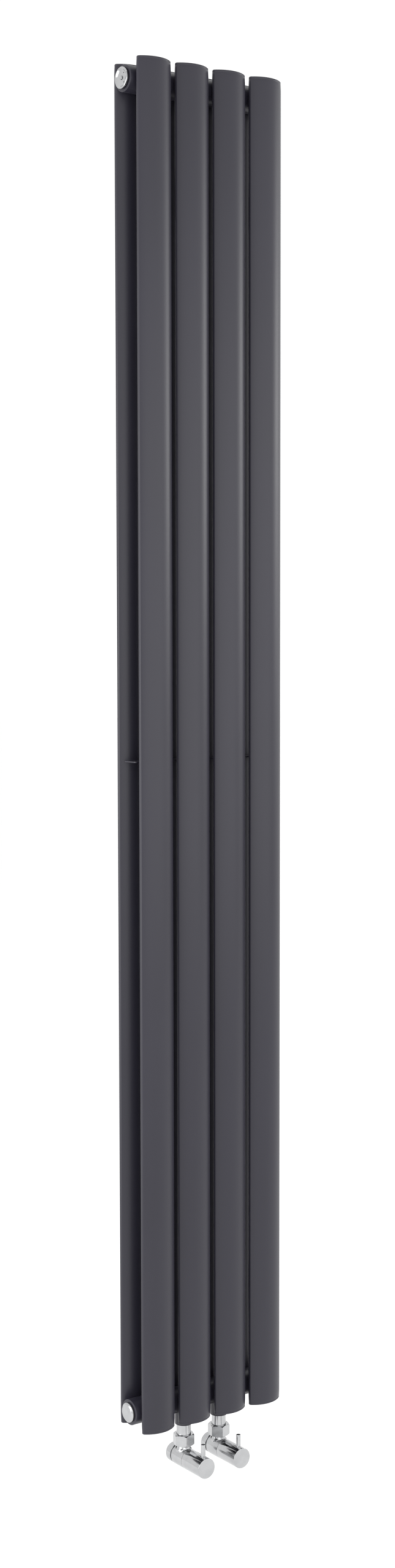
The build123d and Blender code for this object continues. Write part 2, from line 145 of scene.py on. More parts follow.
class Finish:
    """A material being built: its nodes are added one call at a time."""

    def __init__(self, name):
        self.material = bpy.data.materials.new(name)
        self.material.use_nodes = True
        self.tree = self.material.node_tree
        self.tree.nodes.clear()

    def node(self, kind, settings=None, sockets=None, out=0):
        """Adds a node: its settings first, then values or wires for its sockets."""
        made = self.tree.nodes.new(kind)
        for key, value in (settings or {}).items():
            if key == "stops":
                self.set_stops(made.color_ramp, value)
            else:
                setattr(made, key, value)
        for key, value in (sockets or {}).items():
            if isinstance(value, Wire):
                self.tree.links.new(value.socket, made.inputs[key])
            else:
                made.inputs[key].default_value = value
        return Wire(self, made.outputs[out])

    @staticmethod
    def set_stops(ramp, stops):
        while len(ramp.elements) < len(stops):
            ramp.elements.new(1.0)
        for element, (place, shade) in zip(ramp.elements, stops):
            element.position = place
            element.color = (shade, shade, shade, 1.0)

    def place(self):
        return self.node("ShaderNodeTexCoord", out="Object")

    def noise(self, size, detail=2.0, stretch=(1, 1, 1)):
        """Soft random cloud whose lumps are about size metres across."""
        where = self.node("ShaderNodeMapping", {}, {"Vector": self.place(), "Scale": stretch})
        return self.node("ShaderNodeTexNoise", {},
                         {"Vector": where, "Scale": 1 / size, "Detail": detail, "Roughness": 0.5})

    def ramp(self, value, *stops):
        return self.node("ShaderNodeValToRGB", {"stops": stops}, {"Fac": value})

    def mix(self, amount, first, second):
        return self.node("ShaderNodeMix", {"data_type": "RGBA"},
                         {"Factor": amount, 6: first, 7: second}, out=2)

    def bump(self, height, depth):
        """A normal pushed by a height wire, depth metres deep at most."""
        return self.node("ShaderNodeBump", {}, {"Strength": 1.0, "Distance": depth, "Height": height})

    def surface(self, varying, fixed):
        """The Principled shader: varying sockets take wires, fixed ones plain numbers."""
        shader = self.node("ShaderNodeBsdfPrincipled", {}, {**fixed, **varying})
        self.node_output(shader)
        return self.material

    def node_output(self, shader):
        output = self.tree.nodes.new("ShaderNodeOutputMaterial")
        self.tree.links.new(shader.socket, output.inputs["Surface"])


print("socket class ready")

# %% [markdown]
# ## Powder coat
# The steel is sprayed with a dry anthracite powder and baked. It levels out almost smooth: what is left
# is a faint orange-peel ripple a millimetre or two across, a dry micro-texture and a very slight drift
# in shade. Two noises of different size drive one Bump node for the ripple and the dry grain, and a
# broad cloud moves colour and roughness a little, because a single value reads as plastic.

# %% Powder coat finish
ANTHRACITE = (0.0198, 0.0184, 0.0292, 1)
ANTHRACITE_DEEP = (0.0170, 0.0158, 0.0252, 1)
DRIFT_SIZE = 0.11
PEEL_SIZE = 0.0022
GRAIN_SIZE = 0.00045
PEEL_DEPTH = 0.00005


def powder_coat(name, light=ANTHRACITE, deep=ANTHRACITE_DEEP, dullness=0.40):
    f = Finish(name)
    drift = f.noise(DRIFT_SIZE, 3.0, (1, 1, 0.35))
    peel = f.noise(PEEL_SIZE)
    grain = f.noise(GRAIN_SIZE, 3.0)
    shade = f.mix(f.ramp(drift * 0.8 + grain * 0.2, (0.36, 0), (0.64, 1)), deep, light)
    rough = dullness + (drift - 0.5) * 0.10 + (grain - 0.5) * 0.12
    normal = f.bump(peel * 0.75 + grain * 0.25, PEEL_DEPTH)
    return f.surface({"Base Color": shade, "Roughness": rough, "Normal": normal},
                     {"Specular IOR Level": 0.5, "IOR": 1.5})


paint = powder_coat("anthracite_powder_coat")
bracket_paint = powder_coat("bracket_powder_coat", (0.0205, 0.0197, 0.0250, 1),
                            (0.0170, 0.0163, 0.0205, 1), 0.48)
print("finishes", paint.name, bracket_paint.name)

# %% [markdown]
# ## Chrome plate
# Bright chrome over brass is a mirror that gives back about half the light, slightly cool.
# Hands leave thin smudges that blur it in patches, and polishing leaves hair-fine lines round the piece.
# An image of scratches would do it too, but it would repeat and need unwrapping. Here both live in
# roughness and in a bump of a few micrometres, so the mirror still reads as metal.

# %% Chrome finish
CHROME = (0.505, 0.509, 0.516, 1)
CHROME_SMUDGED = (0.450, 0.454, 0.463, 1)
CHROME_BLUR = 0.13
SMUDGE_SIZE = 0.016
HAIRLINE_SIZE = 0.00035
WAVE_SIZE = 0.009
WAVE_DEPTH = 0.000012


def chrome_plate(name):
    f = Finish(name)
    smudge = f.ramp(f.noise(SMUDGE_SIZE, 4.0), (0.42, 0), (0.72, 1))
    hairline = f.noise(HAIRLINE_SIZE, 2.0, (1, 1, 0.12))
    shade = f.mix(smudge, CHROME, CHROME_SMUDGED)
    rough = CHROME_BLUR + smudge * 0.07 + (hairline - 0.5) * 0.03
    normal = f.bump(hairline * 0.4 + f.noise(WAVE_SIZE, 1.0), WAVE_DEPTH)
    return f.surface({"Base Color": shade, "Roughness": rough.clamped(), "Normal": normal}, {"Metallic": 1.0})


chrome = chrome_plate("chrome_plate")
print("finish", chrome.name)

# %% [markdown]
# ## Small finishes
# Seals are matt black rubber with a dusty bloom, the hidden turned pieces are brass, the thread washers
# are white plastic, the bracket screws are zinc plated and the saddles on the bracket arms are black
# nylon. Each could have its own network, but they are small and half hidden, so they share one recipe:
# two shades, a cloud to mix them, and a fine bump for the grain.

# %% Rubber, brass, plastic and zinc
def two_shade(name, light, dark, rough, lump, fine, depth, metallic=0.0):
    """Two greys or colours mixed by clouds lump metres wide, over a fine bump depth metres deep."""
    f = Finish(name)
    cloud = f.noise(lump, 3.0)
    texture = f.noise(fine)
    shade = f.mix(f.ramp(cloud, (0.35, 0), (0.65, 1)), (*dark, 1), (*light, 1))
    blur = rough + (cloud - 0.5) * 0.12 + (texture - 0.5) * 0.10
    return f.surface({"Base Color": shade, "Roughness": blur.clamped(), "Normal": f.bump(texture, depth)},
                     {"Metallic": metallic})


rubber = two_shade("black_rubber", (0.020, 0.020, 0.021), (0.010, 0.010, 0.010), 0.62, 0.004, 0.0004, 0.00004)
brass = two_shade("turned_brass", (0.80, 0.60, 0.28), (0.66, 0.46, 0.19), 0.26, 0.006, 0.0003, 0.00001, 1.0)
ptfe = two_shade("white_washer", (0.82, 0.82, 0.80), (0.72, 0.72, 0.69), 0.5, 0.003, 0.0003, 0.00002)
nylon = two_shade("black_nylon", (0.035, 0.035, 0.036), (0.020, 0.020, 0.021), 0.45, 0.008, 0.0006, 0.00003)
zinc = two_shade("zinc_plate", (0.66, 0.66, 0.63), (0.50, 0.51, 0.50), 0.30, 0.003, 0.0004, 0.00001, 1.0)
steel = two_shade("bare_steel", (0.46, 0.46, 0.45), (0.30, 0.30, 0.30), 0.38, 0.005, 0.0004, 0.00001, 1.0)
print("finishes", [m.name for m in bpy.data.materials if m.use_nodes])

# %% [markdown]
# ## Dress the measured nodes
# Every node of the measured model gets its finish now, through the record's own slots. Pieces that are
# remade below with softer edges hide their node; the rest, mostly seals and inner pieces, stay as they
# are and only wear the finish. Dressing by slot rather than by name keeps both models in step.

# %% Finish by slot
SLOT_FINISH = {"painted_steel": paint, "painted_bracket": bracket_paint, "chrome": chrome, "brass": brass,
               "black_rubber": rubber, "white_ptfe": ptfe, "liner_plastic": nylon, "zinc_steel": zinc,
               "bare_steel": steel}


def dress(item, finish):
    item.data.materials.clear()
    item.data.materials.append(finish)


slot_of = {entry["node"]: entry["material_slot"] for entry in frame["record"]["subparts"]}
body_of_node = {node: name for name, held in frame["record"]["behaviour"]["bodies"].items() for node in held}
for node, item in frame["nodes"].items():
    dress(item, SLOT_FINISH[slot_of[node]])
print("dressed", len(frame["nodes"]), "nodes")

# %% [markdown]
# ## Rings and skins
# Nearly everything here is a stack of rings: a column is a stack of ovals, a fitting is a stack of
# circles, a nut is a stack of hexagons. A skin is stretched from each ring to the next, and a ring of one
# point closes an end. Modelling by rings keeps the quads long and even, which matters for a mirror
# finish, because a Boolean or a triangulated surface would show every facet in its reflections.

# %% Stack of rings
def skin(rings, loop=False):
    """Verts and faces over a list of rings with equal counts, where a ring of one point is a pole."""
    verts, faces, starts = [], [], []
    for ring in rings:
        starts.append(len(verts))
        verts.extend(ring)
    pairs = list(zip(range(len(rings)), range(1, len(rings))))
    if loop:
        pairs.append((len(rings) - 1, 0))
    for low, high in pairs:
        count = max(len(rings[low]), len(rings[high]))
        for i in range(count):
            j = (i + 1) % count
            a, b = starts[low] + i, starts[low] + j
            d, c = starts[high] + i, starts[high] + j
            if len(rings[low]) == 1:
                faces.append((starts[low], c, d))
            elif len(rings[high]) == 1:
                faces.append((a, b, starts[high]))
            else:
                faces.append((a, b, c, d))
    return verts, faces


def eased(points, size, steps=3):
    """A section line in (radius, height) with its corners softened by size and both ends in place."""
    line = [points[0]]
    for before, corner, after in zip(points, points[1:], points[2:]):
        corner, before, after = Vector(corner), Vector(before), Vector(after)
        back, ahead = before - corner, after - corner
        cut = min(size, back.length * 0.45, ahead.length * 0.45)
        start = corner + back.normalized() * cut
        end = corner + ahead.normalized() * cut
        for i in range(steps + 1):
            t = i / steps
            line.append(tuple(start * (1 - t) ** 2 + corner * 2 * t * (1 - t) + end * t ** 2))
    line.append(points[-1])
    return line


def spun(section, steps=72):
    """Rings of a turned piece round +Z, in millimetres."""
    turn = [2 * math.pi * i / steps for i in range(steps)]
    rings = []
    for radius, height in section:
        if radius == 0:
            rings.append([(0.0, 0.0, height)])
        else:
            rings.append([(radius * math.cos(a), radius * math.sin(a), height) for a in turn])
    return rings


print("ring tools ready")

# %% [markdown]
# ## Making a piece
# One function turns rings into an object: it moves them to their place, welds doubled points, points
# every face outward, shades it smooth except across real edges, gives it its finish, lets it ride on its
# body and hides the measured nodes that it stands for. Doing all of it in one place means no piece can be
# left behind when a handle turns.

# %% One piece from rings
SHARP = math.radians(32)
WELD_DISTANCE = 2e-7
SLIVER = 1e-7


def piece(name, parts, nodes=(), body=None, finish=None):
    """One object from parts, each (verts, faces, matrix) in millimetres, that stands for nodes."""
    mesh = bpy.data.meshes.new(name)
    work = bmesh.new()
    for verts, faces, matrix in parts:
        made = [work.verts.new(matrix @ (Vector(v) * MM)) for v in verts]
        for face in faces:
            work.faces.new([made[i] for i in face])
    bmesh.ops.remove_doubles(work, verts=work.verts, dist=WELD_DISTANCE)
    bmesh.ops.dissolve_degenerate(work, edges=work.edges, dist=SLIVER)
    bmesh.ops.recalc_face_normals(work, faces=work.faces)
    work.to_mesh(mesh)
    work.free()
    mesh.shade_smooth()
    mesh.set_sharp_from_angle(angle=SHARP)
    made = bpy.data.objects.new(name, mesh)
    bpy.context.scene.collection.objects.link(made)
    lead = nodes[0] if nodes else None
    dress(made, finish or SLOT_FINISH[slot_of[lead]])
    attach(made, body or body_of_node[lead])
    if nodes:
        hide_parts(*nodes)
    return made


def at(x, y, z, turn=Matrix.Identity(4)):
    return Matrix.Translation((x, y, z)) @ turn


TO_ROOM = Matrix.Rotation(math.pi / 2, 4, "X")
OUT_OF_END = {"left": Matrix.Rotation(-math.pi / 2, 4, "Y"),
              "right": Matrix.Rotation(math.pi / 2, 4, "Y")}
print("piece maker ready")

# %% [markdown]
# ## Oval columns
# Each column is a welded steel tube pressed to an oval, about fifty by twenty-four millimetres, drawn in
# a hair at both ends. Its outline is two shallow arcs that meet in tight ones. It could be a scaled
# circle, but an ellipse is too pointed at its sides, so the two radii are worked out to meet smoothly.

# %% Column outline
column_low, column_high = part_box("front_column_1")
caps_low, caps_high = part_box("top_caps")
COLUMN_WIDTH = (column_high.x - column_low.x) / MM
COLUMN_DEPTH = (column_high.y - column_low.y) / MM
COLUMNS_PER_ROW = 4
EDGE_RADIUS = 4.0
NARROWING = 0.4
NARROWING_HEIGHT = 10.0
FACE_STEPS = 26
EDGE_STEPS = 12


def oval(inward, height):
    """Column outline, drawn in by inward millimetres, at a height."""
    half_width = COLUMN_WIDTH / 2 - inward
    half_depth = COLUMN_DEPTH / 2 - inward
    edge = max(EDGE_RADIUS - inward, 0.5)
    centre = half_width - edge
    face = (centre ** 2 + half_depth ** 2 - edge ** 2) / (2 * (half_depth - edge))
    reach = face - half_depth
    slope = math.hypot(centre, reach)
    wide = math.asin((centre + edge * centre / slope) / face)
    tight = math.pi / 2 - wide
    points = []
    for side in (1, -1):
        for i in range(FACE_STEPS):
            a = wide * (1 - 2 * i / FACE_STEPS) * side
            points.append((face * math.sin(a), side * (face * math.cos(a) - reach), height))
        for i in range(EDGE_STEPS):
            a = tight * (1 - 2 * i / EDGE_STEPS)
            points.append((-side * (centre + edge * math.cos(a)), side * edge * math.sin(a), height))
    return points


print("column", round(COLUMN_WIDTH, 1), "x", round(COLUMN_DEPTH, 1), "mm,", len(oval(0, 0)), "points round")

# %% [markdown]
# A tube and its end plate are two pieces of steel, and the seam between them is ground flush before
# painting. What is left is a line finer than a hair, so the tube turns in by less than a tenth of a
# millimetre where it meets the plate. A tall box with bevels would be quicker to make, but it has no
# bulge across its face, and that shallow bulge is what draws the soft highlights down a real tube.

# %% Tubes
CAP_THICKNESS = (caps_high.z - caps_low.z) / MM
SEAM = 0.08
LID_RING = 3.0
TUBE_STEPS = 24


def tube_rings(low, high):
    """A column's tube: its foot, the straight stretch in even steps, and the foot mirrored as its top."""
    foot = [[(0, 0, low)]]
    for inward, rise in ((NARROWING + LID_RING, 0), (NARROWING + SEAM, 0),
                         (NARROWING + SEAM * 0.35, SEAM * 0.4), (NARROWING, SEAM),
                         (NARROWING * 0.62, NARROWING_HEIGHT * 0.35),
                         (NARROWING * 0.2, NARROWING_HEIGHT * 0.75), (0.0, NARROWING_HEIGHT)):
        foot.append(oval(inward, low + rise))
    span = high - low - 2 * NARROWING_HEIGHT
    straight = [oval(0.0, low + NARROWING_HEIGHT + span * i / TUBE_STEPS) for i in range(1, TUBE_STEPS)]
    top = [[(x, y, low + high - z) for x, y, z in ring] for ring in foot]
    return foot + straight + top[::-1]


tubes = {}
for row in ("front", "rear"):
    for number in range(1, COLUMNS_PER_ROW + 1):
        node = f"{row}_column_{number}"
        low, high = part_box(node)
        verts, faces = skin(tube_rings(low.z / MM, high.z / MM))
        middle = (low + high) / 2
        tubes[node] = piece(f"{row}_tube_{number}", [(verts, faces, at(middle.x, middle.y, 0))], [node])
print("tubes", len(tubes), "with", len(tubes["front_column_1"].data.vertices), "points each")

# %% [markdown]
# The end plate is three millimetres of steel in the same outline, with its outer rim rounded over. Eight
# plates could be modelled one by one, but they are alike: one is made with its outer face up and set on
# every tube, and for the bottom it is mirrored, so that its outer face looks down.

# %% End plates
CAP_ROUNDING = 1.5
ROUNDING_STEPS = 7
GAP = 0.02


def cap_rings():
    """End plate, outer face up, its seam side at zero."""
    rings = [[(0, 0, GAP)], oval(NARROWING + LID_RING, GAP), oval(NARROWING + SEAM, GAP),
             oval(NARROWING + SEAM * 0.35, SEAM * 0.4), oval(NARROWING, SEAM)]
    shoulder = CAP_THICKNESS - CAP_ROUNDING
    for i in range(ROUNDING_STEPS + 1):
        a = math.pi / 2 * i / ROUNDING_STEPS
        inward = NARROWING + CAP_ROUNDING * (1 - math.cos(a))
        rings.append(oval(inward, shoulder + CAP_ROUNDING * math.sin(a)))
    return rings + [oval(NARROWING + 2 * LID_RING, CAP_THICKNESS), [(0, 0, CAP_THICKNESS)]]


for level, flip in (("top", 1), ("bottom", -1)):
    low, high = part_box(f"{level}_caps")
    seam_height = low.z if level == "top" else high.z
    over = Matrix.Scale(flip, 4, (0, 0, 1))
    verts, faces = skin(cap_rings())
    plates = []
    for tube in frame["record"]["subparts"]:
        if "_column_" in tube["node"]:
            tube_low, tube_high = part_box(tube["node"])
            middle = (tube_low + tube_high) / 2
            plates.append((verts, faces, at(middle.x, middle.y, seam_height, over)))
    piece(f"{level}_end_plates", plates, [f"{level}_caps"])
    print(level, "end plates", len(plates))

# %% [markdown]
# ## Headers
# A round tube runs between the two rows at the top and at the bottom and carries the water to all eight.
# Each end is closed by a threaded bush, welded in and ground flat, which leaves a faint ring on the face.
# Tube and bush could be two objects, but the paint makes one skin of them, so they are spun as one
# section, from the bore of one bush over the outside to the bore of the other.

# %% Headers
BUSH_BORE = 10.5
BUSH_DEPTH = 9.0
SEAM_RADIUS = 15.0
SEAM_DEPTH = 0.22
HEADER_WALL = 2.0
END_STRETCH = 20.0
header_middle = {}
for level in ("top", "bottom"):
    low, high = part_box(f"{level}_header")
    radius = (high.z - low.z) / 2 / MM
    half = (high.x - low.x) / 2 / MM
    inner = radius - HEADER_WALL
    outside = [(BUSH_BORE, half - BUSH_DEPTH), (BUSH_BORE, half), (SEAM_RADIUS - 0.3, half),
               (SEAM_RADIUS, half - SEAM_DEPTH), (SEAM_RADIUS + 0.3, half), (radius, half)]
    right = eased(outside + [(radius, half - END_STRETCH)], 0.9)
    left = [(r, -h) for r, h in right][::-1]
    lining = [(inner, -half + BUSH_DEPTH), (inner, half - BUSH_DEPTH)]
    section = right[:-1] + [(radius, half * f) for f in (0.6, 0.2, -0.2, -0.6)] + left[1:] + lining
    verts, faces = skin(spun(section, 96), loop=True)
    header_middle[level] = (low + high) / 2
    place = at(*header_middle[level], OUT_OF_END["right"])
    piece(f"{level}_header_tube", [(verts, faces, place)], [f"{level}_header", f"{level}_header_bushes"])
    print(level, "header radius", round(radius, 2), "length", round(2 * half, 1))
HEADER_RADIUS = radius

# %% [markdown]
# ## Weld beads
# Where the round header meets the oval columns it is welded all round, on a curve that climbs over the
# tube like a saddle. A Boolean could find that curve, but only as a rough chain of edges. Here it is
# worked out point by point from the column's face and the header's round, and a small round section is
# swept along it. Tiny waves in its thickness are the ripples that a welder's hand leaves.

# %% Beads
BEAD_RIPPLE = 0.12
BEAD_SIDES = 8
SADDLE_STEPS = 44
COLUMN_BEAD = 0.75
BOSS_BEAD = 0.7


def bead(points, thick):
    """A closed round bead along a loop of points, in millimetres, with slight ripples."""
    count = len(points)
    rings = []
    for i, point in enumerate(points):
        here = Vector(point)
        along = (Vector(points[(i + 1) % count]) - Vector(points[i - 1])).normalized()
        side = along.orthogonal() if abs(along.x) > 0.999 else along.cross(Vector((1, 0, 0)))
        side.normalize()
        other = along.cross(side)
        size = thick * (1 + BEAD_RIPPLE * (math.sin(i * 1.9) + 0.5 * math.sin(i * 0.7)))
        turn = [2 * math.pi * k / BEAD_SIDES for k in range(BEAD_SIDES)]
        rings.append([tuple(here + (side * math.cos(a) + other * math.sin(a)) * size) for a in turn])
    return skin(rings, loop=True)


def saddle(depth_in, toward):
    """The loop where a header meets a column face that stands depth_in mm inside its radius."""
    half_depth = COLUMN_DEPTH / 2
    centre = COLUMN_WIDTH / 2 - EDGE_RADIUS
    face = (centre ** 2 + half_depth ** 2 - EDGE_RADIUS ** 2) / (2 * (half_depth - EDGE_RADIUS))
    crown = HEADER_RADIUS - depth_in
    widest = math.sqrt(max(face ** 2 - (face - depth_in) ** 2, 0))
    loop = []
    for i in range(SADDLE_STEPS):
        x = widest * math.cos(2 * math.pi * i / SADDLE_STEPS)
        back = crown + face - math.sqrt(face ** 2 - x ** 2)
        rise = math.sqrt(max(HEADER_RADIUS ** 2 - back ** 2, 0))
        up = 1 if math.sin(2 * math.pi * i / SADDLE_STEPS) >= 0 else -1
        loop.append((x, toward * back, up * rise))
    return loop


front_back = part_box("front_column_1")[1].y
sink = (front_back - (header_middle["top"].y - HEADER_RADIUS * MM)) / MM
for level, middle in header_middle.items():
    beads = []
    for number in range(1, COLUMNS_PER_ROW + 1):
        low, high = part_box(f"front_column_{number}")
        place = at((low.x + high.x) / 2, middle.y, middle.z)
        for toward in (-1, 1):
            beads.append((*bead(saddle(sink, toward), COLUMN_BEAD), place))
    piece(f"{level}_header_welds", beads, body="panel", finish=paint)
    print(level, "weld beads", len(beads), "sunk", round(sink, 2), "mm")

# %% [markdown]
# Under the bottom header hang two short threaded bosses, one for each valve, welded on with a round bead.
# A boss is spun like the header, and its mouth is widened to take the rubber ring round the valve's tail.

# %% Valve bosses
boss_low, boss_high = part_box("valve_bosses")
BOSS_RADIUS = (boss_high.y - boss_low.y) / 2 / MM
MOUTH_RADIUS = 11.1
MOUTH_DEPTH = 1.6
INTO_HEADER = 6.0
BOSS_STEPS = 48
joint_place = {j["name"]: Vector(j["pos_m"]) for j in frame["record"]["behaviour"]["joints"]}
valve_place = {side: joint_place[f"{side}_valve_turn"] for side in ("left", "right")}
reach = (header_middle["bottom"].z - boss_low.z) / MM
section = eased([(BUSH_BORE, reach - INTO_HEADER), (BUSH_BORE, MOUTH_DEPTH), (MOUTH_RADIUS, MOUTH_DEPTH),
                 (MOUTH_RADIUS, 0), (BOSS_RADIUS, 0), (BOSS_RADIUS, reach - INTO_HEADER)], 0.5)
verts, faces = skin(spun(section), loop=True)
ring_points = []
for i in range(BOSS_STEPS):
    a = 2 * math.pi * i / BOSS_STEPS
    y = BOSS_RADIUS * math.sin(a)
    ring_points.append((BOSS_RADIUS * math.cos(a), y, -math.sqrt(HEADER_RADIUS ** 2 - y ** 2)))
bosses = []
for place in valve_place.values():
    bosses.append((verts, faces, at(place.x, place.y, boss_low.z)))
    bosses.append((*bead(ring_points, BOSS_BEAD), at(place.x, place.y, header_middle["bottom"].z)))
piece("valve_bosses_welded", bosses, ["valve_bosses"])
print("boss radius", round(BOSS_RADIUS, 2), "hangs", round(reach - HEADER_RADIUS, 1), "mm under the header")

# %% [markdown]
# ## End fittings
# Three header ends are closed by chrome plugs with a flat face and a broad bevel. A cylinder with a bevel
# modifier would come close, but a turned piece is just its section line, and that line also gives the
# thread and the groove for the rubber ring, which every fitting has.

# %% Blanking plugs
PLUG_RADIUS = (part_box("top_right_plug")[1].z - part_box("top_right_plug")[0].z) / 2 / MM
PLUG_FACE = 4.4
THREAD_RADIUS = 10.4
THREAD_DEPTH = 8.0
GROOVE_RADIUS = 10.9
GROOVE_LOW = 0.5
GROOVE_HIGH = 1.45


def threaded_back(bore, radius):
    """The hidden half of a fitting's section, from its bore to the back edge of its head."""
    return [(bore, -THREAD_DEPTH), (THREAD_RADIUS, -THREAD_DEPTH), (THREAD_RADIUS, GROOVE_LOW),
            (GROOVE_RADIUS, GROOVE_LOW), (GROOVE_RADIUS, GROOVE_HIGH), (radius - 0.3, GROOVE_HIGH),
            (radius, 1.8)]


plug_face = [(PLUG_RADIUS, 2.7), (PLUG_RADIUS - 2.0, PLUG_FACE - 0.05), (PLUG_RADIUS - 2.5, PLUG_FACE),
             (0, PLUG_FACE)]
plug_line = eased(threaded_back(0, PLUG_RADIUS) + plug_face, 0.3)
for node, side in (("bottom_left_plug", "left"), ("bottom_right_plug", "right"), ("top_right_plug", "right")):
    low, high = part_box(node)
    middle = (low + high) / 2
    end = header_middle["top"].x + (-1 if side == "left" else 1) * half * MM
    place = at(end, middle.y, middle.z, OUT_OF_END[side])
    piece(f"{node}_head", [(*skin(spun(plug_line)), place)], [node])
print("plug radius", round(PLUG_RADIUS, 2))

# %% [markdown]
# The top left end has the air vent: a dished disc with a raised rim and two small holes where the air
# comes out. The holes are not cut: each is a near-black plug let into the dish, painted shade standing in
# for the dark inside of a drilled hole. At this size it looks the same, and it leaves the dish a clean turned
# surface.

# %% Air vent
VENT_RADIUS = (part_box("vent_plug")[1].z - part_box("vent_plug")[0].z) / 2 / MM
VENT_BORE = 2.6
HOLE_PLACE = 7.2
HOLE_RADIUS = 0.9
HOLE_TURNS = (-35, -145)
vent_face = [(VENT_RADIUS, 3.5), (VENT_RADIUS - 0.6, 4.1), (VENT_RADIUS - 1.8, 4.1), (9.9, 2.6), (7.5, 2.0),
             (4.6, 1.9), (3.6, 2.2), (VENT_BORE, 2.2), (VENT_BORE, 1.0)]
vent_line = eased(threaded_back(VENT_BORE, VENT_RADIUS) + vent_face, 0.5)
vent_low, vent_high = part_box("vent_plug")
vent_middle = (vent_low + vent_high) / 2
vent_end = at(header_middle["top"].x - half * MM, vent_middle.y, vent_middle.z, OUT_OF_END["left"])
piece("vent_plug_head", [(*skin(spun(vent_line, 96), loop=True), vent_end)], ["vent_plug"])

# Painted shade: the near-black plugs stand in for the shade inside the two air holes.
hole_painted_shade = two_shade("hole_shadow", (0.008, 0.008, 0.008), (0.004, 0.004, 0.004), 0.8, 0.002, 0.0003,
                      0.00002)
hole_line = eased([(0, 1.2), (HOLE_RADIUS, 1.2), (HOLE_RADIUS, 2.06), (0, 2.12)], 0.1)
holes = []
for angle in HOLE_TURNS:
    turn = Matrix.Rotation(math.radians(angle), 4, "Z") @ Matrix.Translation((HOLE_PLACE * MM, 0, 0))
    holes.append((*skin(spun(hole_line, 24)), vent_end @ turn))
piece("vent_hole_painted_shade", holes, body="panel", finish=hole_painted_shade)
print("vent radius", round(VENT_RADIUS, 2), "with", len(holes), "air holes")

# %% [markdown]
# The bleed screw's square end is filed to take a key. It could be a beveled box, but a stack of rounded
# squares uses the same rings as everything else, and its corners stay soft all the way up. It rides on
# its own body because it turns.

# %% Bleed screw
KEY_SIDE = 3.4
KEY_TOP = 3.8
KEY_FOOT = 1.0
CORNER_STEPS = 5


def square_ring(half_side, corner, height):
    """A square with rounded corners."""
    points = []
    for quarter in range(4):
        for i in range(CORNER_STEPS + 1):
            a = math.pi / 2 * (quarter + i / CORNER_STEPS)
            cx = (half_side - corner) * (1 if quarter in (0, 3) else -1)
            cy = (half_side - corner) * (1 if quarter in (0, 1) else -1)
            points.append((cx + corner * math.cos(a), cy + corner * math.sin(a), height))
    return points


half_key = KEY_SIDE / 2
key_rings = [[(0, 0, KEY_FOOT)], square_ring(half_key, 0.3, KEY_FOOT),
             square_ring(half_key, 0.3, KEY_TOP - 0.5), square_ring(half_key - 0.12, 0.25, KEY_TOP - 0.2),
             square_ring(half_key - 0.45, 0.2, KEY_TOP), [(0, 0, KEY_TOP)]]
shank = eased([(0, -8.3), (0.8, -8.3), (2.54, -6.3), (2.54, 1.2), (0, 1.2)], 0.2)
piece("bleed_screw", [(*skin(key_rings), vent_end), (*skin(spun(shank, 32)), vent_end)], ["vent_screw"])
print("bleed key", KEY_SIDE, "mm square")

# %% [markdown]
# ## Corner valves
# Each valve is a fat chrome barrel lying towards the wall: the pipe nut at the back, the body with its
# neck rising to the union, and a turning head in front with a round lever pin standing on it. The barrel
# and the neck are one casting, so where they cross there is a soft fillet. A Boolean and a bevel would
# give it with uneven faces, which chrome shows at once. Here the saddle is made by blending, at each
# place round the neck, from the neck's side to the barrel's surface on a small curve.

# %% Valve body
head_low, head_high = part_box("left_head")
nut_low, nut_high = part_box("left_compression_nut")
body_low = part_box("left_valve_body")[0]
VALVE_RADIUS = (head_high.x - head_low.x) / 2 / MM
axis_y = valve_place["left"].y
HEAD_BACK = (axis_y - head_high.y) / MM
HEAD_FRONT = (axis_y - head_low.y) / MM
BODY_FRONT = (axis_y - body_low.y) / MM
NUT_FRONT = (axis_y - nut_low.y) / MM
NUT_BACK = (axis_y - nut_high.y) / MM
NECK_RADIUS = 10.8
NECK_SHOULDER = 11.0
NECK_TOP = 27.5
NECK_BORE = 5.0
NECK_FILLET = 1.7
FILLET_STEPS = 8
PIPE_RADIUS = 7.6
PIPE_STOP = -10.0
CASTING_BACK = -21.5
CASTING_THREAD = 10.2
WAIST_RADIUS = 11.6
GROOVE_FRONT = -11.6
CHAMBER_RADIUS = 7.1
CHAMBER_HALF = 7.2
BONNET_BORE = 9.0
WAY_RADIUS = 5.5

barrel_line = eased([(PIPE_RADIUS, -19.9), (9.7, CASTING_BACK), (CASTING_THREAD, CASTING_BACK),
                     (CASTING_THREAD, NUT_FRONT + 0.1), (WAIST_RADIUS, NUT_FRONT + 0.1),
                     (WAIST_RADIUS, GROOVE_FRONT), (VALVE_RADIUS - 0.9, GROOVE_FRONT),
                     (VALVE_RADIUS, GROOVE_FRONT + 0.9), (VALVE_RADIUS, BODY_FRONT),
                     (BONNET_BORE, BODY_FRONT), (BONNET_BORE, CHAMBER_HALF), (CHAMBER_RADIUS, CHAMBER_HALF),
                     (CHAMBER_RADIUS, -CHAMBER_HALF), (WAY_RADIUS, -CHAMBER_HALF), (WAY_RADIUS, PIPE_STOP),
                     (PIPE_RADIUS, PIPE_STOP)], 0.28)
neck_line = eased([(NECK_BORE, 6.0), (NECK_RADIUS, 6.0), (NECK_RADIUS, NECK_SHOULDER), (9.2, 13.4),
                   (8.4, 15.2), (8.4, 18.3), (10.2, 19.1), (10.2, NECK_TOP), (NECK_BORE, NECK_TOP)], 0.5)


